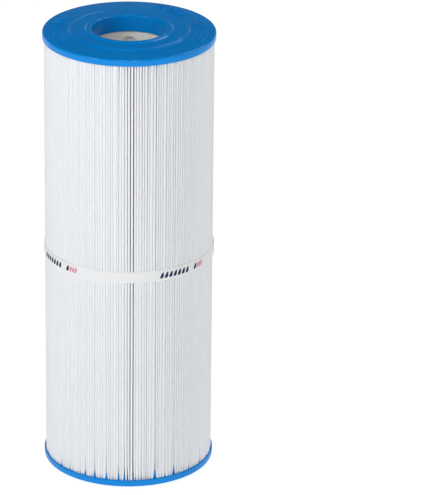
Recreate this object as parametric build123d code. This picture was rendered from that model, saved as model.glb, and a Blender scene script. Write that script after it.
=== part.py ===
"""Pleated filter cartridge for a spa or hot tub, open at both ends.

A sheet of spunbonded polyester is folded into a ring of deep pleats round a
perforated core tube, and a urethane end cap is cast round each end of both.
A narrow band, glued to the pleat tips, keeps the pleats evenly spaced.

Frame: millimetres, +Z up along the axis, origin in the middle of the plane
that the cartridge stands on. The front is towards -Y.
"""
from build123d import *
from math import cos, pi, radians, sin
import os

# Overall sizes
overall_length = 338.1      # sealing land to sealing land
cap_diameter = 125.4
bore_diameter = 54.0        # open hole in both caps

# End cap, heights measured inwards from the sealing land
lip_height = 0.9            # sealing lip above the plateau round it
plateau_height = 0.9        # plateau above the outer part of the cap's face
rim_height = 5.0            # the cap's outer wall
rim_wall = 1.1              # urethane outside the pleat tips
land_edge_round = 1.0       # rounding from the land into the bore
land_width = 2.8            # flat ring that seals and stands
lip_slope = 1.2             # from the land's outer edge down to the plateau
plateau_width = 11.3        # from the lip's foot to the step's top
step_slope = 0.9            # from the plateau's edge down to the outer face
rim_edge_round = 1.2        # outer edge of the face
rim_back_round = 0.4        # edge where the rim meets the pleats
collar_wall = 1.2           # urethane lining inside the end of the core
collar_depth = 12.5         # from the land to the inner end of the lining

# Core tube
core_wall = 2.4
core_embed = 3.4            # length of core end held in each cap
core_hole_diameter = 12.2
core_hole_count = 6         # in one row
core_first_row = 23.0       # first row's centre from the land
core_row_pitch = 18.0       # wanted distance between rows

# Pleated sheet
sheet_thickness = 0.4
pleat_gap_at_core = 0.11    # gap between neighbouring legs at the core
outer_fold_width = 1.5      # width of one fold at the outside
core_clearance = 0.3        # between the core and the inner folds
media_embed = 3.2           # length of sheet held in each cap
seam_angle = -88.0          # degrees, where the two ends of the sheet meet
seam_depth = 12.0           # depth of the glue between the two end legs

# Band round the pleats
band_width = 7.5
band_thickness = 0.35
band_glue_film = 0.25       # glue between the pleat tips and the strip
band_glue_short = 0.1       # the glue between the tips stops this far short of a sheet's thickness
band_lap_film = 0.1         # glue between the lapped ends
band_lap_length = 24.0
band_ramp_length = 5.0      # where the strip rises over its own first end
band_lap_angle = 5.0        # degrees, middle of the lap
bead_inset = 0.15           # the glue stops this far from the band's edges

# Sizes that follow
cap_radius = cap_diameter / 2
bore_radius = bore_diameter / 2
face_height = lip_height + plateau_height
rim_top = face_height + rim_height
core_inner_radius = bore_radius + collar_wall
core_outer_radius = core_inner_radius + core_wall
fold_inner_radius = core_outer_radius + core_clearance
tip_radius = cap_radius - rim_wall
pleat_count = int(2 * pi * fold_inner_radius / (2 * (sheet_thickness + pleat_gap_at_core)))
pleat_angle = 360 / pleat_count
media_start = rim_top - media_embed
media_length = overall_length - 2 * media_start
core_start = rim_top - core_embed
core_length = overall_length - 2 * core_start
band_start = (overall_length - band_width) / 2
strip_inner_radius = tip_radius + band_glue_film
strip_outer_radius = strip_inner_radius + band_thickness
lap_inner_radius = strip_outer_radius + band_lap_film
lap_outer_radius = lap_inner_radius + band_thickness
glue_inner_radius = tip_radius - (sheet_thickness - band_glue_short)


def polar(radius, angle, offset=0.0):
    """Point at a radius and an angle in degrees, moved sideways by offset."""
    a = radians(angle)
    return Vector(radius * cos(a) - offset * sin(a), radius * sin(a) + offset * cos(a), 0)


def leg_points(pleat, side):
    """Corner points of one leg of a pleat, side -1 or 1 of the pleat's middle.

    Gives the outer surface's tip and valley points, then the inner surface's
    tip and root points. The valley lies half a pleat away.
    """
    middle = seam_angle + pleat * pleat_angle
    valley = middle + side * pleat_angle / 2
    wet_tip = polar(tip_radius, middle, side * outer_fold_width / 2)
    wet_valley = polar(fold_inner_radius + sheet_thickness, valley, -side * pleat_gap_at_core / 2)
    clean_tip_offset = outer_fold_width / 2 - sheet_thickness
    clean_tip = polar(tip_radius - sheet_thickness, middle, side * clean_tip_offset)
    clean_root_offset = pleat_gap_at_core / 2 + sheet_thickness
    clean_root = polar(fold_inner_radius, valley, -side * clean_root_offset)
    return wet_tip, wet_valley, clean_tip, clean_root


def open_end(side):
    """Inner-surface corner at the cut edge of the sheet, on one leg of the seam pleat."""
    return polar(tip_radius, seam_angle, side * (outer_fold_width / 2 - sheet_thickness))


def upright(points, height, base):
    """Closed prism on a polygon, from base upwards."""
    face = Face(Wire.make_polygon(points, close=True))
    return Pos(0, 0, base) * extrude(face, amount=height, dir=(0, 0, 1))


def pleated_media():
    """The folded sheet: a zigzag ring, cut at the outer fold of the seam pleat."""
    wet = []
    clean = [open_end(1)]
    for pleat in range(pleat_count):
        if pleat > 0:
            wet_tip, wet_valley, clean_tip, clean_root = leg_points(pleat, -1)
            wet += [wet_valley, wet_tip]
            clean += [clean_root, clean_tip]
        wet_tip, wet_valley, clean_tip, clean_root = leg_points(pleat, 1)
        wet += [wet_tip, wet_valley]
        clean += [clean_tip, clean_root]
    wet_tip, wet_valley, clean_tip, clean_root = leg_points(pleat_count, -1)
    wet += [wet_valley, wet_tip]
    clean += [clean_root, clean_tip, open_end(-1)]
    outline = []
    for point in wet + clean[::-1]:
        if not outline or (point - outline[-1]).length > 1e-6:
            outline.append(point)
    return upright(outline, media_length, media_start)


def media_side_seam():
    """Wedge of glue between the two end legs, flush with the cut edges."""
    sides = []
    for side in (1, -1):
        _, _, tip, root = leg_points(0, side)
        along = root - tip
        depth = seam_depth - sheet_thickness
        sides.append([open_end(side), tip, tip + along * (depth / along.length)])
    return upright(sides[0] + sides[1][::-1], media_length, media_start)


def core_tube():
    """Rigid tube with staggered rows of round holes."""
    tube = Cylinder(core_outer_radius, core_length) - Cylinder(core_inner_radius, core_length)
    tube = Pos(0, 0, core_start + core_length / 2) * tube
    span = overall_length - 2 * core_first_row
    row_count = 1 + round(span / core_row_pitch)
    hole = Rot(0, 90, 0) * Cylinder(core_hole_diameter / 2, core_outer_radius + 1,
                                    align=(Align.CENTER, Align.CENTER, Align.MIN))
    hole_angle = 360 / core_hole_count
    holes = []
    for row in range(row_count):
        height = core_first_row + span * row / (row_count - 1)
        first = 90 + (row % 2) * hole_angle / 2
        for step in range(core_hole_count):
            holes.append(Pos(0, 0, height) * Rot(0, 0, first + step * hole_angle) * hole)
    return tube - holes


def cap_blank():
    """The bottom cap before the core and the pleats are set in it, turned on a lathe."""
    land_inner = bore_radius + land_edge_round
    land_outer = land_inner + land_width
    lip_foot = land_outer + lip_slope
    step_top = lip_foot + plateau_width
    step_foot = step_top + step_slope
    with BuildPart() as cap:
        with BuildSketch(Plane.XZ):
            with BuildLine():
                Line((bore_radius, collar_depth), (bore_radius, land_edge_round))
                RadiusArc((bore_radius, land_edge_round), (land_inner, 0), -land_edge_round)
                Polyline((land_inner, 0), (land_outer, 0), (lip_foot, lip_height),
                         (step_top, lip_height), (step_foot, face_height),
                         (cap_radius - rim_edge_round, face_height))
                RadiusArc((cap_radius - rim_edge_round, face_height),
                          (cap_radius, face_height + rim_edge_round), -rim_edge_round)
                Line((cap_radius, face_height + rim_edge_round), (cap_radius, rim_top - rim_back_round))
                RadiusArc((cap_radius, rim_top - rim_back_round),
                          (cap_radius - rim_back_round, rim_top), -rim_back_round)
                Polyline((cap_radius - rim_back_round, rim_top), (core_inner_radius, rim_top),
                         (core_inner_radius, collar_depth), (bore_radius, collar_depth))
            make_face()
        revolve(axis=Axis.Z)
    return cap.part


def end_caps(set_in):
    """Bottom and top cap, cast round the pieces that are set in them."""
    bottom = cap_blank()
    top = Pos(0, 0, overall_length) * Rot(180, 0, 0) * bottom
    return [cap - set_in for cap in (bottom, top)]


def ring_sector(inner, outer, start, end):
    """Part of a flat ring, from one angle to another in degrees, at the band's height."""
    reach = 2 * outer
    middle = (start + end) / 2
    wedge = [Vector(0, 0, 0)]
    for step in range(-2, 3):
        wedge.append(polar(reach, middle + step * (end - start) / 4))
    ring = Cylinder(outer, band_width) - Cylinder(inner, band_width)
    ring = Pos(0, 0, band_start + band_width / 2) * ring
    return ring & upright(wedge, band_width, band_start)


def lap_angles():
    """Where the strip starts to rise, where its first end lies, and where its second end stops."""
    half = 180 / pi * band_lap_length / tip_radius / 2
    ramp = 180 / pi * band_ramp_length / tip_radius
    return band_lap_angle - half - ramp, band_lap_angle - half, band_lap_angle + half


def centre_band():
    """A strip wound once round on its glue, with its second end laid over its first."""
    rise, first, last = lap_angles()
    middle = first + 180
    ramp_corners = [polar(strip_inner_radius, rise), polar(strip_outer_radius, rise),
                    polar(lap_outer_radius, first), polar(lap_inner_radius, first)]
    ramp = upright(ramp_corners, band_width, band_start)
    first_half = ring_sector(strip_inner_radius, strip_outer_radius, first, middle)
    second_half = ring_sector(strip_inner_radius, strip_outer_radius, middle, rise + 360)
    over = ring_sector(lap_inner_radius, lap_outer_radius, first, last)
    return first_half + second_half + ramp + over


def band_adhesive(media, seam, band):
    """Hot-melt bead between the pleat tips and the strip, pulled flat from fold to fold."""
    height = band_width - 2 * bead_inset
    outline = [polar(strip_inner_radius, seam_angle + pleat * pleat_angle)
               for pleat in range(pleat_count)]
    inside = Pos(0, 0, overall_length / 2) * Cylinder(glue_inner_radius, height)
    return upright(outline, height, band_start + bead_inset) - [inside, media, seam, band]


def band_lap_adhesive():
    """Thin film of glue between the two lapped ends of the band."""
    _, first, last = lap_angles()
    return ring_sector(strip_outer_radius, lap_inner_radius, first, last)


def main():
    media = pleated_media()
    seam = media_side_seam()
    core = core_tube()
    band = centre_band()
    bottom, top = end_caps([media, seam, core])
    pieces = {
        "top_end_cap": top,
        "bottom_end_cap": bottom,
        "core_tube": core,
        "pleated_media": media,
        "media_side_seam": seam,
        "centre_band": band,
        "band_adhesive": band_adhesive(media, seam, band),
        "band_lap_adhesive": band_lap_adhesive(),
    }
    os.makedirs("parts", exist_ok=True)
    for name, shape in pieces.items():
        export_step(shape, f"parts/{name}.step")
    print("pleats", pleat_count, "sheet length about", round(media_length, 1))


main()
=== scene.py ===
"""Looks of a pleated spa filter cartridge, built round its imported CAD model.

Every length is in metres, +Z is up along the cartridge's axis, and the front is towards -Y.
Angles round the cartridge are in radians and start from +X, unless a comment says bearing: a
bearing is in degrees from the front, and grows to the right.
"""

import bpy
import numpy as np
from bpy.props import FloatProperty, FloatVectorProperty, IntProperty, PointerProperty
from bpy.types import Operator, Panel, PropertyGroup
from mathutils import Matrix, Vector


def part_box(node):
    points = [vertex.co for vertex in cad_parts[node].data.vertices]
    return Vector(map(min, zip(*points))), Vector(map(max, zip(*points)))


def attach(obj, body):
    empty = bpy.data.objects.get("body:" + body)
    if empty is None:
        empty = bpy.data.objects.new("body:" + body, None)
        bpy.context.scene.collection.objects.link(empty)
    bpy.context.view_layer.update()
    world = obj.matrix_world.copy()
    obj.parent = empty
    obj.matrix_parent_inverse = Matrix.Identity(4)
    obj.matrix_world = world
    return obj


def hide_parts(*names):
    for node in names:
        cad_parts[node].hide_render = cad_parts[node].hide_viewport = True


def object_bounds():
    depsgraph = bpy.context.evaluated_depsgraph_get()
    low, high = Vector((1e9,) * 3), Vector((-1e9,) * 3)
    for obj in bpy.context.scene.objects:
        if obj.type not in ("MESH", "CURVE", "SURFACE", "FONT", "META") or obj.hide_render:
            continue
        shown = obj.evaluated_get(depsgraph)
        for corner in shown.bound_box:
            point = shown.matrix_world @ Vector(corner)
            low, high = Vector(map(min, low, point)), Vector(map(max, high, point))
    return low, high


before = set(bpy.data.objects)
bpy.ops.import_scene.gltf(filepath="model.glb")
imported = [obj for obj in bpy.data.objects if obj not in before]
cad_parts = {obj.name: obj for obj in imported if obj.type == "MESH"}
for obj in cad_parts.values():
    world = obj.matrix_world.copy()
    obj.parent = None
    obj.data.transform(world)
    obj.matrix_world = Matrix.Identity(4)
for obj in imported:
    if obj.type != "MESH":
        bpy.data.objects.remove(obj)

bl_info = {
    "name": "Filter cartridge",
    "version": (1, 0, 0),
    "blender": (4, 5, 0),
    "location": "View3D > Sidebar > Cartridge",
    "description": "Builds the pleats, end caps, band and stage of a spa filter cartridge",
    "category": "Object",
}

MM = 0.001
TURN = 2 * np.pi
BODY = "root"

cad_low, cad_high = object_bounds()
media_low, media_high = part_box("pleated_media")
band_low, band_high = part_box("centre_band")
cap_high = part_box("bottom_end_cap")[1]
core_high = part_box("core_tube")[1]

OVERALL_LENGTH = cad_high.z - cad_low.z
CAP_RADIUS = cap_high.x
COLLAR_DEPTH = cap_high.z
TIP_RADIUS = media_high.x                   # outside of the folds
VALLEY_RADIUS = core_high.x + 0.3 * MM      # inside of the folds beside the core, just clear of it
STRIP_RADIUS = band_high.y                  # outside of the band, away from its lap
FACE_TO_BACK = 6.8 * MM                     # from a sealing land to the face that the pleats meet
TOP_BACK = OVERALL_LENGTH - FACE_TO_BACK    # height of that face in the top cap


# ---------------------------------------------------------------- sizes and colours

class CapSizes(PropertyGroup):
    """Sizes of one end cap, measured inwards from its sealing land."""
    bore: FloatProperty(name="Bore radius", description="Radius of the open hole",
                        default=27.0 * MM, unit="LENGTH", precision=4)
    lip: FloatProperty(name="Lip height", description="Sealing lip above the plateau",
                       default=0.9 * MM, unit="LENGTH", precision=4)
    plateau: FloatProperty(name="Plateau height", description="Plateau above the outer face",
                           default=0.9 * MM, unit="LENGTH", precision=4)
    rim: FloatProperty(name="Rim height", description="Height of the outer wall",
                       default=5.0 * MM, unit="LENGTH", precision=4)
    edge_round: FloatProperty(name="Edge rounding", description="Rounding of the outer edge",
                              default=1.2 * MM, unit="LENGTH", precision=4)
    collar_wall: FloatProperty(name="Collar wall", description="Urethane inside the core's end",
                               default=1.2 * MM, unit="LENGTH", precision=4)
    mark_height: FloatProperty(name="Mark height", description="Relief of the raised marks",
                               default=0.55 * MM, unit="LENGTH", precision=4)
    creep: FloatProperty(name="Creep", description="Urethane's climb into a gap, in gap widths",
                         default=1.9)
    blue: FloatVectorProperty(name="Urethane colour", description="sRGB colour of the urethane",
                              default=(0.0, 0.53, 0.86), subtype="COLOR_GAMMA")


class PleatSizes(PropertyGroup):
    """Sizes of the folded sheet."""
    count: IntProperty(name="Pleats", description="Number of pleats in the ring", default=190)
    sheet: FloatProperty(name="Sheet thickness", description="Thickness of the polyester sheet",
                         default=0.4 * MM, unit="LENGTH", precision=4)
    core_gap: FloatProperty(name="Gap at core", description="Gap between legs beside the core",
                            default=0.11 * MM, unit="LENGTH", precision=5)
    tip_gap: FloatProperty(name="Gap at tips", description="Usual gap between two folds",
                           default=0.08 * MM, unit="LENGTH", precision=5)
    tip_rise: FloatProperty(name="Fold rise", description="Depth of the rounding of a fold",
                            default=0.5 * MM, unit="LENGTH", precision=5)
    pinch: FloatProperty(name="Pinch", description="How much the bottom cap narrows a fold",
                         default=0.6 * MM, unit="LENGTH", precision=5)
    loose: FloatProperty(name="Loose stretch", description="Extra gap between folds near the seam",
                         default=0.32 * MM, unit="LENGTH", precision=5)
    seam_fold: FloatProperty(name="Seam width", description="Width of the glued pleat",
                             default=1.5 * MM, unit="LENGTH", precision=4)
    seam_angle: FloatProperty(name="Seam angle", description="Where the sheet's ends meet",
                              default=np.radians(-88.0), subtype="ANGLE")
    rows: IntProperty(name="Rows", description="Steps from each cap to mid height", default=14)
    white: FloatVectorProperty(name="Sheet colour", description="sRGB colour of the polyester",
                               default=(0.922, 0.93, 0.943), subtype="COLOR_GAMMA")


class BandSizes(PropertyGroup):
    """Sizes of the band and of what is printed on it."""
    thickness: FloatProperty(name="Thickness", description="Thickness of the strip",
                             default=0.35 * MM, unit="LENGTH", precision=5)
    lap_film: FloatProperty(name="Lap film", description="Glue between the lapped ends",
                            default=0.1 * MM, unit="LENGTH", precision=5)
    lap_length: FloatProperty(name="Lap length", description="Length of the lapped ends",
                              default=24.0 * MM, unit="LENGTH", precision=4)
    ramp_length: FloatProperty(name="Ramp length", description="Where the strip rises over its end",
                               default=5.0 * MM, unit="LENGTH", precision=4)
    lap_angle: FloatProperty(name="Lap angle", description="Middle of the lap",
                             default=np.radians(5.0), subtype="ANGLE")
    repeat: FloatProperty(name="Print repeat", description="Angle from one print to the next",
                          default=np.radians(96.0), subtype="ANGLE")
    fillet: FloatProperty(name="Fillet", description="Height of the glue squeezed out at an edge",
                          default=0.8 * MM, unit="LENGTH", precision=4)
    ink: FloatVectorProperty(name="Ink", description="sRGB colour of the dark ink",
                             default=(0.10, 0.11, 0.30), subtype="COLOR_GAMMA")
    second_ink: FloatVectorProperty(name="Second ink", description="sRGB colour of the red ink",
                                    default=(0.86, 0.55, 0.62), subtype="COLOR_GAMMA")


class StageSizes(PropertyGroup):
    """Where the camera stands, how it is turned, and its lens."""
    distance: FloatProperty(name="Camera distance", description="Level distance to the axis",
                            default=2.752, unit="LENGTH")
    height: FloatProperty(name="Camera height", description="Height over the floor",
                          default=1.328, unit="LENGTH")
    pitch: FloatProperty(name="Camera pitch", description="Tilt below the horizon",
                         default=np.radians(22.87), subtype="ANGLE")
    yaw: FloatProperty(name="Camera yaw", description="Turn to the right of the axis",
                       default=np.radians(1.356), subtype="ANGLE")
    roll: FloatProperty(name="Camera roll", description="Roll that keeps the axis upright",
                        default=np.radians(0.645), subtype="ANGLE")
    lens: FloatProperty(name="Lens", description="Focal length in millimetres for a 36 mm sensor",
                        default=295.7)


# ---------------------------------------------------------------- small helpers

def linear(colour):
    """Linear red, green, blue and alpha of an sRGB colour, given as '#rrggbb' or three shares."""
    if isinstance(colour, str):
        colour = [int(colour[i:i + 2], 16) / 255 for i in (1, 3, 5)]
    c = np.array(colour, float)
    return (*np.where(c <= 0.04045, c / 12.92, ((c + 0.055) / 1.055) ** 2.4).tolist(), 1.0)


def add_node(tree, kind, settings=None, inputs=None):
    """Adds a node, sets its own settings, and sets or links its inputs by name or number."""
    node = tree.nodes.new(kind)
    for name, value in (settings or {}).items():
        setattr(node, name, value)
    for name, value in (inputs or {}).items():
        if isinstance(value, bpy.types.NodeSocket):
            tree.links.new(value, node.inputs[name])
        else:
            node.inputs[name].default_value = value
    return node


def new_material(name):
    """An empty node material, with its tree and its output node."""
    material = bpy.data.materials.new(name)
    material.use_nodes = True
    tree = material.node_tree
    tree.nodes.clear()
    return material, tree, add_node(tree, "ShaderNodeOutputMaterial")


def polar(radius, angle, height):
    """Points from radius, angle and height arrays of one shape, as an array with a last axis of 3."""
    radius, angle, height = np.broadcast_arrays(radius, angle, height)
    return np.stack([radius * np.cos(angle), radius * np.sin(angle), height], axis=-1)


def grid_quads(rows, columns, close_rows=False, close_columns=False, first=0):
    """Quads between neighbours of a grid of points numbered row by row, wrapped where closed."""
    r = np.arange(rows if close_rows else rows - 1)
    c = np.arange(columns if close_columns else columns - 1)
    a, b = np.meshgrid(r, c, indexing="ij")
    a2, b2 = (a + 1) % rows, (b + 1) % columns
    quads = np.stack([a * columns + b, a * columns + b2, a2 * columns + b2, a2 * columns + b], -1)
    return first + quads.reshape(-1, 4)


def add_piece(name, points, faces, material, crease=50, uv=None):
    """Makes a mesh object from points and a list of face arrays, smooth except at sharp angles.

    uv gives two numbers for each point. The piece rides on the body and gets the given material.
    """
    mesh = bpy.data.meshes.new(name)
    loops = np.concatenate([f.ravel() for f in faces])
    sizes = np.concatenate([np.full(len(f), f.shape[1]) for f in faces])
    mesh.vertices.add(len(points))
    mesh.vertices.foreach_set("co", np.ascontiguousarray(points, np.float32).ravel())
    mesh.loops.add(len(loops))
    mesh.loops.foreach_set("vertex_index", loops.astype(np.int32))
    mesh.polygons.add(len(sizes))
    starts = np.concatenate([[0], np.cumsum(sizes)[:-1]])
    mesh.polygons.foreach_set("loop_start", starts.astype(np.int32))
    mesh.polygons.foreach_set("loop_total", sizes.astype(np.int32))
    mesh.update(calc_edges=True)
    if mesh.validate():
        raise RuntimeError(f"{name} had faces that Blender had to mend")
    mesh.polygons.foreach_set("use_smooth", np.ones(len(sizes), bool))
    mesh.set_sharp_from_angle(angle=np.radians(crease))
    if uv is not None:
        layer = mesh.uv_layers.new(name="flat")
        layer.data.foreach_set("uv", uv[loops].astype(np.float32).ravel())
    mesh.materials.append(material)
    piece = bpy.data.objects.new(name, mesh)
    bpy.context.scene.collection.objects.link(piece)
    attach(piece, BODY)
    return piece


def rounded(corners, steps=6):
    """A polyline with its corners turned into arcs.

    corners is a list of (radius, height, rounding). Each corner becomes an arc of its rounding,
    tangent to both its sides, as steps + 1 points; a rounding of 0 keeps the corner as it is.
    """
    points = np.array([c[:2] for c in corners], float)
    before = np.roll(points, 1, axis=0) - points
    after = np.roll(points, -1, axis=0) - points
    before /= np.linalg.norm(before, axis=1)[:, None]
    after /= np.linalg.norm(after, axis=1)[:, None]
    path = []
    for point, a, b, (_, _, size) in zip(points, before, after, corners):
        if size == 0:
            path.append(point[None])
            continue
        half = np.arccos(np.clip(a @ b, -1, 1)) / 2
        middle = (a + b) / np.linalg.norm(a + b)
        centre = point + middle * size / np.sin(half)
        start = point + a * size / np.tan(half) - centre
        end = point + b * size / np.tan(half) - centre
        t = np.linspace(0, 1, steps + 1)[:, None]
        sweep = np.pi - 2 * half
        arc = (np.sin((1 - t) * sweep) * start + np.sin(t * sweep) * end) / np.sin(sweep)
        path.append(centre + arc)
    return np.concatenate(path)


# ---------------------------------------------------------------- materials

def cast_urethane(sizes):
    """Blue two-part polyurethane, cast in an open steel mould.

    The eye gets an even, saturated blue with a soft gloss, faint flow clouds, a shallow
    orange-peel surface and a few pinholes from air in the pour.
    """
    material, tree, out = new_material("cast_urethane")
    place = add_node(tree, "ShaderNodeTexCoord").outputs["Object"]
    clouds = add_node(tree, "ShaderNodeTexNoise", inputs={"Vector": place, "Scale": 45.0, "Detail": 3.0})
    base = np.array(linear(sizes.blue))
    colour = add_node(tree, "ShaderNodeMix", {"data_type": "RGBA"}, {
        "Factor": clouds.outputs["Fac"], "A": tuple(base * [0.88, 0.90, 0.92, 1]),
        "B": tuple(base * [1.1, 1.1, 1.07, 1])})
    gloss = add_node(tree, "ShaderNodeMapRange", inputs={
        "Value": clouds.outputs["Fac"], "From Min": 0.3, "From Max": 0.7, "To Min": 0.28, "To Max": 0.4})
    peel = add_node(tree, "ShaderNodeTexNoise", inputs={"Vector": place, "Scale": 700.0, "Detail": 2.0})
    flow = add_node(tree, "ShaderNodeBump", inputs={
        "Height": clouds.outputs["Fac"], "Strength": 0.35, "Distance": 0.4 * MM})
    skin = add_node(tree, "ShaderNodeBump", inputs={
        "Height": peel.outputs["Fac"], "Strength": 0.25, "Distance": 0.05 * MM,
        "Normal": flow.outputs["Normal"]})
    holes = add_node(tree, "ShaderNodeTexVoronoi", inputs={"Vector": place, "Scale": 160.0})
    pits = add_node(tree, "ShaderNodeMapRange", inputs={
        "Value": holes.outputs["Distance"], "From Min": 0.03, "From Max": 0.07})
    pitted = add_node(tree, "ShaderNodeBump", inputs={
        "Height": pits.outputs["Result"], "Strength": 0.3, "Distance": 0.15 * MM,
        "Normal": skin.outputs["Normal"]})
    shader = add_node(tree, "ShaderNodeBsdfPrincipled", inputs={
        "Base Color": colour.outputs["Result"], "Roughness": gloss.outputs["Result"],
        "Normal": pitted.outputs["Normal"], "IOR": 1.5, "Specular IOR Level": 0.05,
        "Coat Weight": 0.3, "Coat Roughness": 0.06, "Coat IOR": 1.5})
    tree.links.new(shader.outputs["BSDF"], out.inputs["Surface"])
    return material


def spunbonded_polyester(name, colour, coarseness=1.0):
    """White spunbonded polyester sheet: endless fine filaments laid at random and pressed.

    The eye gets a matt white with faint clouds, where more filaments lie, and a dry fibrous
    grain. The real filaments are about 0.02 mm; they are drawn about ten times as coarse.
    """
    material, tree, out = new_material(name)
    flat = add_node(tree, "ShaderNodeUVMap", {"uv_map": "flat"}).outputs["UV"]
    clouds = add_node(tree, "ShaderNodeTexNoise", inputs={
        "Vector": flat, "Scale": 160.0 / coarseness, "Detail": 4.0, "Roughness": 0.6})
    along = add_node(tree, "ShaderNodeMapping", inputs={"Vector": flat, "Scale": (2600.0, 500.0, 1.0)})
    across = add_node(tree, "ShaderNodeMapping", inputs={
        "Vector": flat, "Scale": (600.0, 2300.0, 1.0), "Rotation": (0, 0, 0.5)})
    fibres = [add_node(tree, "ShaderNodeTexNoise", inputs={
        "Vector": way.outputs["Vector"], "Scale": 1.0, "Detail": 2.0}).outputs["Fac"]
        for way in (along, across)]
    grain = add_node(tree, "ShaderNodeMath", {"operation": "MAXIMUM"}, {0: fibres[0], 1: fibres[1]})
    base = np.array(linear(colour))
    cloud_colour = add_node(tree, "ShaderNodeMix", {"data_type": "RGBA"}, {
        "Factor": clouds.outputs["Fac"], "A": tuple(base * [0.93, 0.935, 0.945, 1]), "B": tuple(base)})
    bump = add_node(tree, "ShaderNodeBump", inputs={
        "Height": grain.outputs["Value"], "Strength": 0.5, "Distance": 0.08 * MM})
    shader = add_node(tree, "ShaderNodeBsdfPrincipled", inputs={
        "Base Color": cloud_colour.outputs["Result"], "Roughness": 0.85, "Normal": bump.outputs["Normal"],
        "IOR": 1.45, "Specular IOR Level": 0.25, "Sheen Weight": 0.15})
    tree.links.new(shader.outputs["BSDF"], out.inputs["Surface"])
    return material


def moulded_polypropylene():
    """Natural polypropylene, injection moulded: a waxy off-white with a fine mould grain."""
    material, tree, out = new_material("moulded_polypropylene")
    place = add_node(tree, "ShaderNodeTexCoord").outputs["Object"]
    clouds = add_node(tree, "ShaderNodeTexNoise", inputs={"Vector": place, "Scale": 60.0, "Detail": 3.0})
    colour = add_node(tree, "ShaderNodeMix", {"data_type": "RGBA"}, {
        "Factor": clouds.outputs["Fac"], "A": linear("#eae5da"), "B": linear("#f4f1e9")})
    grain = add_node(tree, "ShaderNodeTexNoise", inputs={"Vector": place, "Scale": 1500.0, "Detail": 2.0})
    bump = add_node(tree, "ShaderNodeBump", inputs={
        "Height": grain.outputs["Fac"], "Strength": 0.3, "Distance": 0.04 * MM})
    shader = add_node(tree, "ShaderNodeBsdfPrincipled", inputs={
        "Base Color": colour.outputs["Result"], "Roughness": 0.45, "Normal": bump.outputs["Normal"],
        "IOR": 1.49})
    tree.links.new(shader.outputs["BSDF"], out.inputs["Surface"])
    return material


def hot_melt():
    """Ethylene-vinyl hot-melt glue: milky, a little yellow, with a wet gloss and soft lumps."""
    material, tree, out = new_material("hot_melt")
    place = add_node(tree, "ShaderNodeTexCoord").outputs["Object"]
    lumps = add_node(tree, "ShaderNodeTexNoise", inputs={"Vector": place, "Scale": 400.0, "Detail": 2.0})
    colour = add_node(tree, "ShaderNodeMix", {"data_type": "RGBA"}, {
        "Factor": lumps.outputs["Fac"], "A": linear("#efeeea"), "B": linear("#f8f8f6")})
    bump = add_node(tree, "ShaderNodeBump", inputs={
        "Height": lumps.outputs["Fac"], "Strength": 0.5, "Distance": 0.2 * MM})
    shader = add_node(tree, "ShaderNodeBsdfPrincipled", inputs={
        "Base Color": colour.outputs["Result"], "Roughness": 0.3, "Normal": bump.outputs["Normal"],
        "IOR": 1.48})
    tree.links.new(shader.outputs["BSDF"], out.inputs["Surface"])
    return material


def flexo_ink(name, colour):
    """Water-based ink, printed on the strip from a rubber plate: flat, and thin between fibres."""
    material, tree, out = new_material(name)
    place = add_node(tree, "ShaderNodeTexCoord").outputs["Object"]
    thin = add_node(tree, "ShaderNodeTexNoise", inputs={"Vector": place, "Scale": 1800.0, "Detail": 3.0})
    cover = add_node(tree, "ShaderNodeMapRange", inputs={
        "Value": thin.outputs["Fac"], "From Min": 0.5, "From Max": 0.8, "To Min": 0.0, "To Max": 0.25})
    base = np.array(linear(colour))
    mixed = add_node(tree, "ShaderNodeMix", {"data_type": "RGBA"}, {
        "Factor": cover.outputs["Result"], "A": tuple(base), "B": tuple(0.5 * base + 0.4)})
    shader = add_node(tree, "ShaderNodeBsdfPrincipled", inputs={
        "Base Color": mixed.outputs["Result"], "Roughness": 0.7, "Specular IOR Level": 0.25})
    tree.links.new(shader.outputs["BSDF"], out.inputs["Surface"])
    return material


# ---------------------------------------------------------------- end caps

def cap_profile(s):
    """Closed section of the bottom cap: radius and height, turning anticlockwise."""
    land_round = 0.98 * MM
    land_inner = s.bore + 1.0 * MM
    land_outer = land_inner + 2.8 * MM
    lip_foot = land_outer + 1.2 * MM
    step_top = lip_foot + 11.3 * MM
    step_foot = step_top + 0.9 * MM
    groove = step_top - 1.1 * MM
    groove_half = 0.45 * MM
    groove_floor = s.lip + 0.22 * MM
    face = s.lip + s.plateau
    back = face + s.rim
    collar = s.bore + s.collar_wall
    return rounded([
        (s.bore, COLLAR_DEPTH, 0.25 * MM),
        (s.bore, 0, land_round),
        (land_outer, 0, 0.4 * MM),
        (lip_foot, s.lip, 0.5 * MM),
        (groove - groove_half, s.lip, 0.15 * MM),
        (groove, groove_floor, 0.1 * MM),
        (groove + groove_half, s.lip, 0.15 * MM),
        (step_top, s.lip, 0.35 * MM),
        (step_foot, face, 0.5 * MM),
        (CAP_RADIUS, face, s.edge_round),
        (CAP_RADIUS, back, 0.4 * MM),
        (collar, back, 0.3 * MM),
        (collar, COLLAR_DEPTH, 0.25 * MM)])


def turned_cap(name, section, top, material):
    """The section carried round the axis; the top cap is the bottom one turned end for end."""
    angle = np.linspace(0, TURN, 256, endpoint=False)[:, None]
    radius, height = section[:, 0][None], section[:, 1][None]
    if top:
        points = polar(radius, -angle, OVERALL_LENGTH - height)
    else:
        points = polar(radius, angle, height)
    quads = grid_quads(len(angle), len(section), True, True)
    piece = add_piece(name, points.reshape(-1, 3), [quads], material, crease=60)
    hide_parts(name.replace("_casting", ""))


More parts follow.
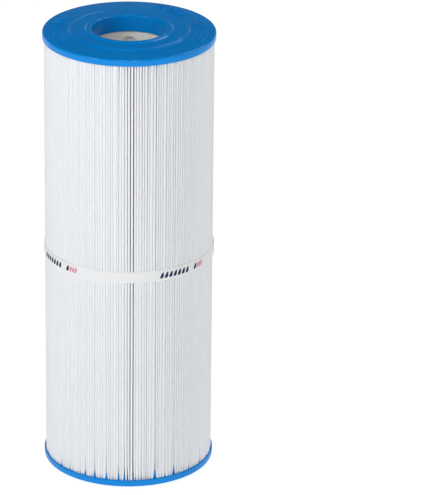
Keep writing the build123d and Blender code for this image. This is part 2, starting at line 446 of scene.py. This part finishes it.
def mark_layout():
    """Rows of raised marks on a cap's outer face: bearing, radius, length along the arc, width.

    All but the bearing are in millimetres. A row of upright bars on the left stands for the
    size, and rows of short dashes on the right for the mould's batch code. Nothing in them can
    be read.
    """
    random = np.random.default_rng(7)
    dash_width, dash_gap = 1.1, 1.3
    marks = []
    for bearing in np.arange(-116, -62, 6.2):
        long = random.choice([5.4, 7.6])
        marks.append((bearing, 56.5 - long / 2, 1.3, long))
        if random.random() < 0.6:
            marks.append((bearing + 2.9, random.choice([50.5, 53.0, 55.5]), 3.2, 1.2))
    for radius, start, stop in ((57.6, 62, 104), (53.6, 66, 110), (49.6, 70, 106),
                                (56.0, 126, 160), (51.5, 130, 158)):
        bearing = start
        while bearing < stop:
            long = random.uniform(1.6, 4.6)
            turn = np.degrees(long / radius)
            marks.append((bearing + turn / 2, radius, long, dash_width))
            bearing += turn + np.degrees(dash_gap / radius)
    return np.array(marks)


def raised_marks(name, sizes, top, material):
    """Every mark is a squared-off ellipsoid, half sunk in the cap's outer face.

    For angles u round it and v from pole to pole, along = a f(cos v) f(cos u),
    across = b f(cos v) f(sin u), up = h f(sin v), where f keeps the sign and takes the power 0.35.
    """
    def power(x):
        return np.sign(x) * np.abs(x) ** 0.35

    marks = mark_layout()[:, :, None, None]
    u = np.linspace(0, TURN, 20, endpoint=False)[None, :, None]
    v = np.linspace(-1.45, 1.45, 7)[None, None, :]
    bearing, radius, length, width = (marks[:, i] for i in range(4))
    along = length / 2 * MM * power(np.cos(v)) * power(np.cos(u))
    across = width / 2 * MM * power(np.cos(v)) * power(np.sin(u))
    up = sizes.mark_height * power(np.sin(v))
    around = np.radians(bearing - 90) + along / (radius * MM)
    face = sizes.lip + sizes.plateau
    height = OVERALL_LENGTH - face + up if top else face - up
    points = polar(radius * MM + across, around if top else -around, height)
    per_mark = u.size * v.size
    faces, ends = [], []
    for mark in range(len(marks)):
        faces.append(grid_quads(u.size, v.size, True, False, mark * per_mark))
        ring = mark * per_mark + np.arange(u.size) * v.size
        ends += [ring[::-1][None], (ring + v.size - 1)[None]]
    add_piece(name, points.reshape(-1, 3), faces + ends, material)


def crept_urethane(name, sizes, pleats, top, material):
    """A low wall of urethane that crept up between the folds before it set.

    Its section is a rounded bank behind the pleat tips. Its height swells to a tooth in each gap,
    sizes.creep times the gap's width, from almost nothing behind each fold.
    """
    left, right, _ = fold_edges(pleats, np.array([TOP_BACK if top else FACE_TO_BACK]))
    before = np.roll(right[0], 1)
    before[0] -= TURN
    middle, width = (left[0] + before) / 2, (left[0] - before) * TIP_RADIUS
    reach = (width / 2 + 0.25 * MM) / TIP_RADIUS
    spread = np.array([-1, -0.55, -0.2, 0.2, 0.55, 1])
    share = np.array([0, 0.45, 1, 1, 0.45, 0])
    angle = (middle[:, None] + reach[:, None] * spread).ravel()
    tooth = (0.25 * MM + sizes.creep * width[:, None] * share).ravel()
    # Points of the section: radius, share of the tooth's height, and depth below the cap's face.
    out = TIP_RADIUS - np.array([4.6, 1.4, 1.3, 1.6, 2.5, 4.6]) * MM
    up = np.array([0, 0, 0.55, 1, 0.8, 0.3])
    sunk = np.array([0.6, 0.6, 0, 0, 0, 0]) * MM
    rise = tooth[:, None] * up - sunk
    around = angle[:, None]
    if top:
        points = polar(out, around, TOP_BACK - rise)[:, ::-1]
    else:
        points = polar(out, around, FACE_TO_BACK + rise)
    quads = grid_quads(len(angle), len(out), True, True)
    add_piece(name, points.reshape(-1, 3), [quads], material, crease=70)


# ---------------------------------------------------------------- pleats

# Wide gaps between folds that are seen from the front: bearing, then width in millimetres at the
# bottom cap, at mid height and at the top cap.
FRONT_GAPS = (
    (-63.0, 1.0, 0.0, 0.1), (-53.5, 1.9, 0.0, 0.2), (-44.0, 0.8, 0.1, 0.2), (-31.0, 1.6, 0.1, 0.1),
    (-23.8, 1.9, 0.1, 0.2), (-16.4, 1.7, 0.1, 0.3), (-7.0, 1.3, 0.1, 0.6), (-2.6, 1.0, 0.1, 0.2),
    (-0.4, 0.6, 0.15, 0.3), (3.4, 1.4, 0.8, 0.8), (8.1, 0.6, 0.1, 0.3), (12.7, 0.5, 0.1, 0.5),
    (17.8, 2.7, 0.3, 0.3), (25.0, 0.5, 0.1, 0.5), (33.0, 2.3, 0.2, 0.2), (46.0, 0.9, 0.1, 0.3),
    (59.8, 1.8, 0.1, 0.2))


def wide_gaps():
    """Bearings of the wide gaps, and their widths at the bottom, middle and top.

    The hidden part of the ring gets gaps of its own, drawn from a seeded generator.
    """
    random = np.random.default_rng(21)
    rest = []
    bearing = 72.0
    while bearing < 290:
        rest.append((bearing, *random.uniform((0.5, 0.0, 0.1), (2.4, 0.4, 0.6))))
        bearing += random.uniform(6, 14)
    gaps = np.array(FRONT_GAPS + tuple(rest))
    return gaps[:, 0], gaps[:, 1:] * MM


def fold_edges(s, height):
    """Angles of the left and right edge of every fold at every height, and the tips' radius.

    Boundaries start evenly spaced. Each is moved by a part of its own that is the same all the
    way up and a part that changes with height and vanishes at the band. Each cap pinches every
    fold by a width that dies away as exp(-distance / 3 mm). The folds stand looser beside the
    seam, most at the top, and in a wider stretch to the right of it: their gaps grow by two bell
    curves that strengthen above mid height. They are centred 7 and 42 degrees to the right of
    the seam, and are 12 and 24 degrees wide. Then each wide gap pushes the folds beside it away
    by half its width, less by a factor e for every three pleats; it is widest at a cap and closes
    to its width at mid height as exp(-distance / 7 mm) above the bottom cap and
    exp(-distance / 12 mm) below the top one.
    """
    random = np.random.default_rng(5)
    n = s.count
    pitch = TURN / n
    tip = TIP_RADIUS
    narrowest_fold, narrowest_gap = 1.0 * MM, 0.05 * MM
    share = (height - media_low.z) / (media_high.z - media_low.z)
    over_bottom = np.clip(height - FACE_TO_BACK, 0, 1)
    under_top = np.clip(TOP_BACK - height, 0, 1)
    steady, low, high, gap_size, tip_drop, pinch = random.normal(size=(6, n))
    swing = np.stack([low, high])[:, None, :]
    weight = np.stack([np.clip(1 - 2 * share, 0, 1), np.clip(2 * share - 1, 0, 1)])[:, :, None]
    move = 0.10 * np.clip(steady, -2, 2) + 0.12 * np.clip((swing * weight).sum(0), -2, 2)
    move[:, :2] = 0
    boundary = s.seam_angle + (np.arange(n) - 0.5 + move) * pitch
    close = np.exp(-over_bottom / (3 * MM)) + 0.4 * np.exp(-under_top / (3 * MM))
    gap = s.tip_gap * (0.6 + 0.5 * np.clip(np.abs(gap_size), 0, 2))[None]
    from_seam = ((np.arange(n) - 0.5 + n // 2) % n - n // 2) * 360 / n
    seam_bell = np.exp(-((from_seam - 7) / 12) ** 2)
    right_bell = np.exp(-((from_seam - 42) / 24) ** 2)
    upper = np.clip(2 * share - 1, 0, 1)[:, None]
    loose = s.loose * (seam_bell * (0.05 + 0.9 * upper) + right_bell * (1.0 + 0.8 * upper))
    pinched = s.pinch * (0.4 + 0.6 * np.clip(np.abs(pinch), 0, 2)) * close[:, None]
    gap = (gap + loose + pinched) / tip
    left = boundary + gap / 2
    right = np.roll(boundary, -1, axis=1) - np.roll(gap, -1, axis=1) / 2
    right[:, -1] += TURN

    bearing, width = wide_gaps()
    seam_bearing = np.degrees(s.seam_angle) + 90
    index = np.round((bearing - seam_bearing) / 360 * n + 0.5).astype(int) % n
    flare = [np.exp(-over_bottom / (7 * MM)), np.exp(-under_top / (12 * MM))]
    half = (width[:, 0, None] * flare[0] + width[:, 1, None] * (1 - flare[0]) * (1 - flare[1])
            + width[:, 2, None] * flare[1]) / 2 / tip
    pleat = np.arange(n)[None]
    for edge, after in ((left, 0), (right, 1)):
        apart = (pleat + after - index[:, None] + n // 2) % n - n // 2
        side = np.where(apart + (1 - after) * 0.5 > 0, 1.0, -1.0)
        edge += np.einsum("gh,gp->hp", half, side * np.exp(-np.abs(apart) / 3.0))
    seam_half = s.seam_fold / 2 / tip
    left[:, 0], right[:, 0] = s.seam_angle - seam_half, s.seam_angle + seam_half
    thin = np.clip(narrowest_fold / tip - (right - left), 0, None) / 2
    left, right = left - thin, right + thin
    before = np.roll(right, 1, axis=1)
    before[:, 0] -= TURN
    tight = np.clip(narrowest_gap / tip - (left - before), 0, None)
    left[:, 1:] += tight[:, 1:]
    right[:, -1] -= tight[:, 0]
    radius = tip - 0.08 * MM * np.clip(np.abs(tip_drop), 0, 2)[None] * np.ones_like(left)
    radius[:, 0] = tip
    return left, right, radius


def row_heights(s):
    """Heights of the rows: both ends of the sheet, and rows that crowd towards each cap.

    The distance from a cap grows as ratio to the power k, less one, up to mid height, because
    the folds change most beside the caps.
    """
    k = np.arange(s.rows + 1)
    ratio = 1.32
    half = OVERALL_LENGTH / 2 - FACE_TO_BACK
    away = half * (ratio ** k - 1) / (ratio ** s.rows - 1)
    lower = np.concatenate([[media_low.z], FACE_TO_BACK + away])
    return np.concatenate([lower, OVERALL_LENGTH - lower[-2::-1]])


def sheet_outline(s, height):
    """Both surfaces of the sheet at every height: the wet one outside, the clean one inside.

    Each fold is half an ellipse as wide as the fold. A leg is straight from the fold down to the
    valley beside the core, and the clean surface runs one sheet thickness inside the wet one.
    """
    n = s.count
    left, right, tip = fold_edges(s, height)
    valley = s.seam_angle + (np.arange(n + 1) - 0.5) * TURN / n
    turn = np.linspace(0, np.pi, 7)

    def arc(inset, steps):
        middle = (left + right) / 2
        half = np.maximum((right - left) / 2 - inset / tip, 0.05 * MM / tip)
        rise = np.minimum(half * tip, s.tip_rise)
        angle = middle[..., None] - half[..., None] * np.cos(steps)
        radius = (tip - inset - rise)[..., None] + rise[..., None] * np.sin(steps)
        return polar(radius, angle, height[:, None, None])

    def roots(radius, half):
        angle = valley[:, None] + np.array([-half, half]) / radius
        return polar(radius, angle[None], height[:, None, None])

    def cut(inset, side):
        edge = right if side > 0 else left + TURN
        return polar(tip[:, 0], edge[:, 0] - side * inset / tip[:, 0], height)[:, None]

    surfaces = []
    for inset, steps, radius, half in (
            (0, turn, VALLEY_RADIUS + s.sheet, s.core_gap / 2),
            (s.sheet, turn[::3], VALLEY_RADIUS, s.core_gap / 2 + s.sheet)):
        fold, root = arc(inset, steps), roots(radius, half)
        pleats = np.concatenate([root[:, 1:n], fold[:, 1:]], axis=2)
        body = pleats.reshape(len(height), -1, 3)
        surfaces.append(np.concatenate([cut(inset, 1), body, root[:, n], cut(inset, -1)], axis=1))
    return surfaces


def sheet_faces(rows, wet, clean, n):
    """Quads of both surfaces, the strips at the two cut edges, and the end faces of the sheet.

    wet and clean are the numbers of points in one row of each surface, and n is the number of
    pleats. A row starts with its cut edge, then has two valley points and seven fold points for
    each pleat on the wet surface, and two and three on the clean one.
    """
    wet_step, clean_step = 9, 5
    inner = rows * wet
    out = grid_quads(rows, wet)
    back = grid_quads(rows, clean, first=inner)[:, ::-1]
    r = np.arange(rows - 1)
    cut_start = np.stack([r * wet, (r + 1) * wet, inner + (r + 1) * clean, inner + r * clean], -1)
    cut_end = np.stack([r * wet + wet - 1, inner + r * clean + clean - 1,
                        inner + (r + 1) * clean + clean - 1, (r + 1) * wet + wet - 1], -1)
    faces = [out, back, cut_start, cut_end]
    pleat = np.arange(n - 1)[:, None]
    w, c = 1 + wet_step * pleat, 1 + clean_step * pleat
    last_w, last_c = 1 + wet_step * (n - 1), 1 + clean_step * (n - 1)
    patterns = (((0, 1), (1, 0)), ((1, 2), (2, 1)), ((2, 3, 4, 5), (3, 2)), ((5, 6, 7, 8), (4, 3)))
    for row in (0, rows - 1):
        lid = []
        for outer, inside in patterns:
            corners = [row * wet + w + outer, inner + row * clean + c + inside]
            lid.append(np.concatenate(corners, axis=1))
        to_first = [row * wet, row * wet + 1, inner + row * clean + 1, inner + row * clean]
        legs = [row * wet + w[:-1] + 8, row * wet + w[:-1] + 9,
                inner + row * clean + c[:-1] + 5, inner + row * clean + c[:-1] + 4]
        lid.append(np.array([to_first]))
        lid.append(np.concatenate(legs, axis=1))
        a, b = row * wet + last_w, inner + row * clean + last_c
        lid.append(np.array([[a - 1, a, b, b - 1], [a, a + 1, b + 1, b],
                             [a + 1, a + 2, b + 2, b + 1]]))
        faces += [f if row else f[:, ::-1] for f in lid]
    return faces


def pleated_sheet(s, material):
    """The whole folded sheet as one closed mesh. Its UV map is the flat sheet, in metres."""
    height = row_heights(s)
    wet, clean = sheet_outline(s, height)
    steps = np.linalg.norm(np.diff(wet[0], axis=0), axis=1)
    wet_u = np.concatenate([[0], np.cumsum(steps)])
    clean_u = np.linspace(0, wet_u[-1], clean.shape[1])
    uv = np.concatenate([np.stack(np.broadcast_arrays(u, height[:, None]), -1).reshape(-1, 2)
                         for u in (wet_u, clean_u)])
    faces = sheet_faces(len(height), wet.shape[1], clean.shape[1], s.count)
    points = np.concatenate([wet.reshape(-1, 3), clean.reshape(-1, 3)])
    piece = add_piece("pleated_sheet", points, faces, material, uv=uv)
    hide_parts("pleated_media")


# ---------------------------------------------------------------- band

def strip_radius(s, angle):
    """Inner radius of the strip at an angle along it.

    It lies on the glue all the way round, then rises smoothly over its own first end.
    """
    first, _ = strip_ends(s)
    rest = STRIP_RADIUS - s.thickness
    ramp = s.ramp_length / TIP_RADIUS
    t = np.clip((angle - first - TURN + ramp) / ramp, 0, 1)
    return rest + (s.thickness + s.lap_film) * t * t * (3 - 2 * t)


def strip_ends(s):
    """Angles of the strip's first end and of its second end, one turn and the lap further on."""
    half = s.lap_length / TIP_RADIUS / 2
    return s.lap_angle - half, s.lap_angle + half + TURN


def band_strip(s, pleats, material):
    """The strip's rounded rectangular section carried once round, with a faint rib at each fold.

    A rib's outer face falls by rib_depth * (1 - cos(angle * pleats)) from one fold to the next.
    """
    first, last = strip_ends(s)
    angle = np.linspace(first, last, 1150)
    inner = strip_radius(s, angle)
    low, high = band_low.z, band_high.z
    corner, rib_depth = 0.12 * MM, 0.03 * MM
    section = rounded([(0, low, corner), (s.thickness, low, corner), (s.thickness, high, corner),
                       (0, high, corner)], steps=3)
    levels = np.linspace(low + 2 * corner, high - 2 * corner, 5)
    outside = np.stack([np.full(5, s.thickness), levels], -1)
    section = np.concatenate([section[:8], outside, section[8:]])
    rib = rib_depth * (np.cos(angle * pleats) - 1) * (section[:, 0] > s.thickness / 2)[:, None]
    radius = inner[:, None] + section[None, :, 0] + rib.T
    points = polar(radius, angle[:, None], section[None, :, 1])
    count = len(section)
    quads = grid_quads(len(angle), count, False, True)
    ends = [np.arange(count)[::-1][None], (len(angle) - 1) * count + np.arange(count)[None]]
    along = np.broadcast_to((angle * STRIP_RADIUS)[:, None], radius.shape)
    uv = np.stack([along, np.broadcast_to(section[None, :, 1], radius.shape)], -1).reshape(-1, 2)
    piece = add_piece("band_strip", points.reshape(-1, 3), [quads] + ends, material,
                      crease=40, uv=uv)
    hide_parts("centre_band")


def glue_fillets(s, material):
    """The glue squeezed out above and below the strip, as a sloping bead on the folds.

    From the strip's edge at t = 0 to the folds at a quarter turn, its surface stands out by a
    width times cos(t)^1.4 and up by a height times sin(t)^1.4. The height waves round the ring.
    """
    angle = np.linspace(0, TURN, 760, endpoint=False)[:, None]
    t = np.linspace(0, np.pi / 2, 6)[None]
    wave = 1 + 0.12 * np.sin(23 * angle + 1) * np.sin(57 * angle)
    foot = TIP_RADIUS - 0.35 * MM
    out = foot + (STRIP_RADIUS - 0.08 * MM - foot) * np.cos(t) ** 1.4
    up = s.fillet * wave * np.sin(t) ** 1.4
    inside = np.full_like(angle, foot)
    points, faces = [], []
    for side, edge in ((1, band_high.z - 0.15 * MM), (-1, band_low.z + 0.15 * MM)):
        radius = np.concatenate([out + 0 * angle, inside], axis=1)
        height = edge + side * np.concatenate([up, 0 * angle], axis=1)
        ring = polar(radius, angle, height)
        quads = grid_quads(angle.size, t.size + 1, True, True, first=len(points) * radius.size)
        points.append(ring.reshape(-1, 3))
        faces.append(quads[:, ::side])
    add_piece("band_fillets", np.concatenate(points), faces, material)


def print_shapes():
    """One repeat of the print: bearing from its start, half length, half height, taper.

    A row of leaning drops, then a small drop and three leaning bars. Lengths are in millimetres,
    and taper is how far a shape narrows towards its top.
    """
    drops = [(1.4 + 3.35 * i, 1.6, 2.3, 0.55) for i in range(7)]
    drops.append((29.2, 1.4, 2.2, 0.3))
    bars = [(32.0 + 2.2 * i, 0.95, 2.1, 0.0) for i in range(3)]
    return drops, bars


def printed_patch(name, s, shapes, material):
    """Flat patches of ink on the strip's outer face, one polar grid for each shape.

    A rim point at angle u lies at half length times a power of cos u along the strip, less the
    taper at the top, and at half height times a power of sin u up it. The whole leans forward.
    The print stops short of the strip's ramp and first end.
    """
    first_print, lean, end_margin = 21.5, 0.3, 6 * MM
    u = np.linspace(0, TURN, 28, endpoint=False)[None, :, None]
    rings = np.linspace(0.02, 1, 4)[None, None, :]
    rows = []
    for start in np.arange(-2, 2) * np.degrees(s.repeat) + first_print:
        rows += [(start + b, a, h, p) for b, a, h, p in shapes]
    rows = np.array(rows)
    first, _ = strip_ends(s)
    clear = np.degrees((s.ramp_length + end_margin) / TIP_RADIUS)
    rows = rows[(rows[:, 0] + 360 - 90 - np.degrees(first)) % 360 < 360 - clear]
    bearing, half, tall, taper = (rows[:, i, None, None] for i in range(4))
    rise = np.sign(np.sin(u)) * np.abs(np.sin(u)) ** 0.75
    narrow = 1 - taper * (rise + 1) / 2
    along = half * MM * np.sign(np.cos(u)) * np.abs(np.cos(u)) ** 0.75 * narrow * rings
    up = tall * MM * rise * rings
    radius = STRIP_RADIUS + 0.02 * MM
    middle = (band_low.z + band_high.z) / 2
    points = polar(radius, np.radians(bearing - 90) + (along + lean * up) / radius, middle + up)
    each = u.size * rings.size
    quads, middles = [], []
    for shape in range(len(rows)):
        quads.append(grid_quads(u.size, rings.size, True, False, shape * each)[:, ::-1])
        middles.append((shape * each + np.arange(u.size) * rings.size)[None])
    add_piece(name, points.reshape(-1, 3), quads + middles, material)


# ---------------------------------------------------------------- operators

class CARTRIDGE_OT_end_caps(Operator):
    """Build both urethane end caps and their raised marks"""
    bl_idname = "cartridge.end_caps"
    bl_label = "End caps"

    def execute(self, context):
        sizes, pleats = context.scene.cartridge_caps, context.scene.cartridge_pleats
        material = cast_urethane(sizes)
        section = cap_profile(sizes)
        for name, top in (("bottom_end_cap", False), ("top_end_cap", True)):
            turned_cap(name + "_casting", section, top, material)
            raised_marks(name + "_marks", sizes, top, material)
            crept_urethane(name + "_creep", sizes, pleats, top, material)
        return {"FINISHED"}


class CARTRIDGE_OT_pleats(Operator):
    """Build the folded polyester sheet"""
    bl_idname = "cartridge.pleats"
    bl_label = "Pleats"

    def execute(self, context):
        sizes = context.scene.cartridge_pleats
        pleated_sheet(sizes, spunbonded_polyester("spunbonded_polyester", sizes.white))
        return {"FINISHED"}


class CARTRIDGE_OT_band(Operator):
    """Build the band round the pleats, the glue at its edges and the print on it"""
    bl_idname = "cartridge.band"
    bl_label = "Band"

    def execute(self, context):
        sizes = context.scene.cartridge_band
        pleats = context.scene.cartridge_pleats.count
        nonwoven = spunbonded_polyester("band_nonwoven", (0.915, 0.92, 0.925), 0.5)
        band_strip(sizes, pleats, nonwoven)
        glue_fillets(sizes, hot_melt())
        drops, bars = print_shapes()
        printed_patch("band_print_navy", sizes, drops, flexo_ink("navy_ink", sizes.ink))
        printed_patch("band_print_red", sizes, bars, flexo_ink("red_ink", sizes.second_ink))
        return {"FINISHED"}


class CARTRIDGE_OT_inner_parts(Operator):
    """Give the core tube and the glue their finishes"""
    bl_idname = "cartridge.inner_parts"
    bl_label = "Core and glue"

    def execute(self, context):
        core, glue = moulded_polypropylene(), hot_melt()
        for name, material in (("core_tube", core), ("media_side_seam", glue),
                               ("band_adhesive", glue), ("band_lap_adhesive", glue)):
            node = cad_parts[name]
            node.data.materials.clear()
            node.data.materials.append(material)
        return {"FINISHED"}


def add_floor():
    """A wide floor that gives off a little light of its own, so it stays plain white far away."""
    material, tree, out = new_material("studio_floor")
    shader = add_node(tree, "ShaderNodeBsdfPrincipled", inputs={
        "Base Color": (0.35, 0.35, 0.35, 1), "Roughness": 0.9, "Specular IOR Level": 0.1,
        "Emission Color": (1, 1, 1, 1), "Emission Strength": 0.87})
    tree.links.new(shader.outputs["BSDF"], out.inputs["Surface"])
    bpy.ops.mesh.primitive_plane_add(size=40)
    floor = bpy.context.object
    floor.name = "floor"
    floor.data.materials.append(material)


def studio_world():
    """A white sweep round the horizon that fades to a dim ceiling, so that only edges catch it."""
    world = bpy.data.worlds.new("studio")
    world.use_nodes = True
    tree = world.node_tree
    tree.nodes.clear()
    way = add_node(tree, "ShaderNodeTexCoord").outputs["Generated"]
    up = add_node(tree, "ShaderNodeSeparateXYZ", inputs={"Vector": way}).outputs["Z"]
    strength = add_node(tree, "ShaderNodeMapRange", {"interpolation_type": "SMOOTHSTEP"}, {
        "Value": up, "From Min": 0.08, "From Max": 0.19, "To Min": 1.0, "To Max": 0.03})
    shader = add_node(tree, "ShaderNodeBackground", inputs={
        "Color": (1, 1, 1, 1), "Strength": strength.outputs["Result"]})
    add_node(tree, "ShaderNodeOutputWorld", inputs={"Surface": shader.outputs["Background"]})
    return world


def add_soft_light(name, place, size, power):
    """A square area light that faces the middle of the cartridge."""
    data = bpy.data.lights.new(name, "AREA")
    data.size, data.energy = size, power
    light = bpy.data.objects.new(name, data)
    bpy.context.scene.collection.objects.link(light)
    target = np.array([0, 0, OVERALL_LENGTH / 2])
    away = np.array(place, float) - target
    away /= np.linalg.norm(away)
    right = np.cross([0, 0, 1], away)
    right /= np.linalg.norm(right)
    light.matrix_world = Matrix((
        (right[0], np.cross(away, right)[0], away[0], place[0]),
        (right[1], np.cross(away, right)[1], away[1], place[1]),
        (right[2], np.cross(away, right)[2], away[2], place[2]),
        (0, 0, 0, 1)))


def add_camera(s):
    """A long lens that looks a little down, with the roll that keeps the axis upright."""
    heading = np.array([np.sin(s.yaw), np.cos(s.yaw), 0])
    ahead = np.cos(s.pitch) * heading - np.array([0, 0, np.sin(s.pitch)])
    level = np.array([np.cos(s.yaw), -np.sin(s.yaw), 0])
    above = np.cross(level, ahead)
    right = np.cos(s.roll) * level + np.sin(s.roll) * above
    up = np.cos(s.roll) * above - np.sin(s.roll) * level
    data = bpy.data.cameras.new("camera")
    data.lens, data.sensor_width = s.lens, 36
    data.clip_start, data.clip_end = 0.1, 100
    camera = bpy.data.objects.new("camera", data)
    bpy.context.scene.collection.objects.link(camera)
    place = (0, -s.distance, s.height)
    rows = [(right[i], up[i], -ahead[i], place[i]) for i in range(3)]
    camera.matrix_world = Matrix(rows + [(0, 0, 0, 1)])
    bpy.context.scene.camera = camera


class CARTRIDGE_OT_stage(Operator):
    """Set up the floor, the soft lights, the surroundings and the camera"""
    bl_idname = "cartridge.stage"
    bl_label = "Stage"

    def execute(self, context):
        add_floor()
        add_soft_light("key_left", (-1.45, -1.05, 1.45), 0.65, 14)
        add_soft_light("fill_right", (1.9, -1.1, 0.7), 1.2, 3)
        add_soft_light("front", (0.0, -1.7, 1.5), 0.9, 14)
        add_soft_light("back_fill", (1.1, 1.3, 2.1), 1.2, 20)
        context.scene.world = studio_world()
        context.scene.view_settings.view_transform = "Standard"
        add_camera(context.scene.cartridge_stage)
        return {"FINISHED"}


class CARTRIDGE_PT_panel(Panel):
    """The cartridge's operators, in the order they are used"""
    bl_idname = "CARTRIDGE_PT_panel"
    bl_label = "Filter cartridge"
    bl_space_type = "VIEW_3D"
    bl_region_type = "UI"
    bl_category = "Cartridge"

    def draw(self, context):
        for operator in OPERATORS:
            self.layout.operator(operator.bl_idname)


OPERATORS = (CARTRIDGE_OT_stage, CARTRIDGE_OT_pleats, CARTRIDGE_OT_end_caps, CARTRIDGE_OT_band,
             CARTRIDGE_OT_inner_parts)
GROUPS = {"cartridge_caps": CapSizes, "cartridge_pleats": PleatSizes,
          "cartridge_band": BandSizes, "cartridge_stage": StageSizes}


def register():
    for cls in (*GROUPS.values(), *OPERATORS, CARTRIDGE_PT_panel):
        bpy.utils.register_class(cls)
    for name, group in GROUPS.items():
        setattr(bpy.types.Scene, name, PointerProperty(type=group))


def unregister():
    for name in GROUPS:
        delattr(bpy.types.Scene, name)
    for cls in reversed((*GROUPS.values(), *OPERATORS, CARTRIDGE_PT_panel)):
        bpy.utils.unregister_class(cls)


def main():
    register()
    bpy.ops.cartridge.stage()
    bpy.ops.cartridge.pleats()
    bpy.ops.cartridge.end_caps()
    bpy.ops.cartridge.band()
    bpy.ops.cartridge.inner_parts()


if __name__ == "__main__":
    main()
